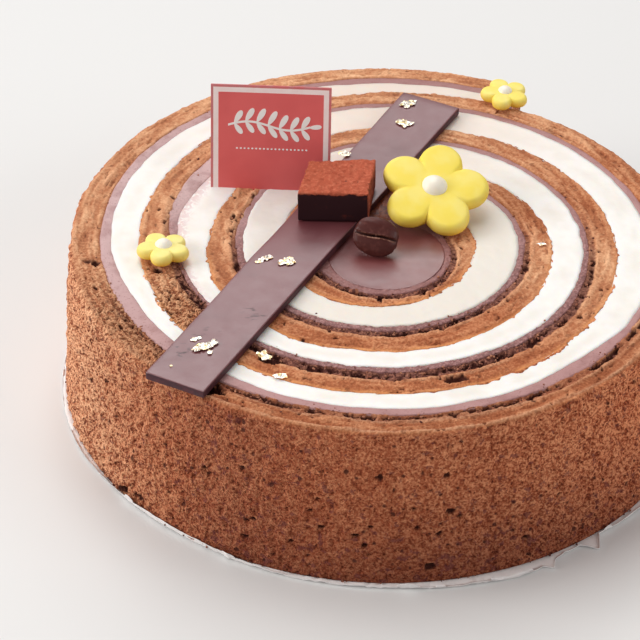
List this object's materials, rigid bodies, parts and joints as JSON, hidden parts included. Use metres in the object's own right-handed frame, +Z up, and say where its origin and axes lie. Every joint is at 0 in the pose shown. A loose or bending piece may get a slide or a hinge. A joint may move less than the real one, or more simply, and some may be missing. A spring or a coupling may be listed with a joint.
{
  "type": "tiramisu cake",
  "caption": "Round tiramisu roll cake standing on end on baking paper, its cream spiral on top, with a chocolate strip, cocoa square, coffee bean, sugar flowers and card.",
  "frame": {"origin": "middle of the underside, on the surface the cake stands on", "axes": "+Z up through the cake, -Y towards the front, +X to the right as the front is faced"},
  "size_m": [0.1586, 0.1591, 0.0686],
  "materials": {
    "sponge": "matte, open crumb",
    "chocolate_cream": "soft satin",
    "white_cream": "soft satin",
    "ganache": "smooth satin",
    "chocolate_strip": "satin with scuffs",
    "cocoa": "cocoa powder, dry matte",
    "roast_bean": "oily satin",
    "yellow_sugar": "soft matte",
    "pearl": "pearly",
    "card": "satin print",
    "baking_paper": "thin, slightly see-through"
  },
  "bodies": {
    "root": {"sponge_roll": "sponge", "chocolate_cream": "chocolate_cream", "white_cream": "white_cream", "ganache_core": "ganache", "chocolate_strip": "chocolate_strip", "cocoa_square": "cocoa", "coffee_bean": "roast_bean", "flower_large": "yellow_sugar", "flower_left": "yellow_sugar", "flower_back": "yellow_sugar", "pearl_large": "pearl", "pearl_left": "pearl", "pearl_back": "pearl", "greeting_card": "card", "baking_paper": "baking_paper"}
  },
  "joints": []
}
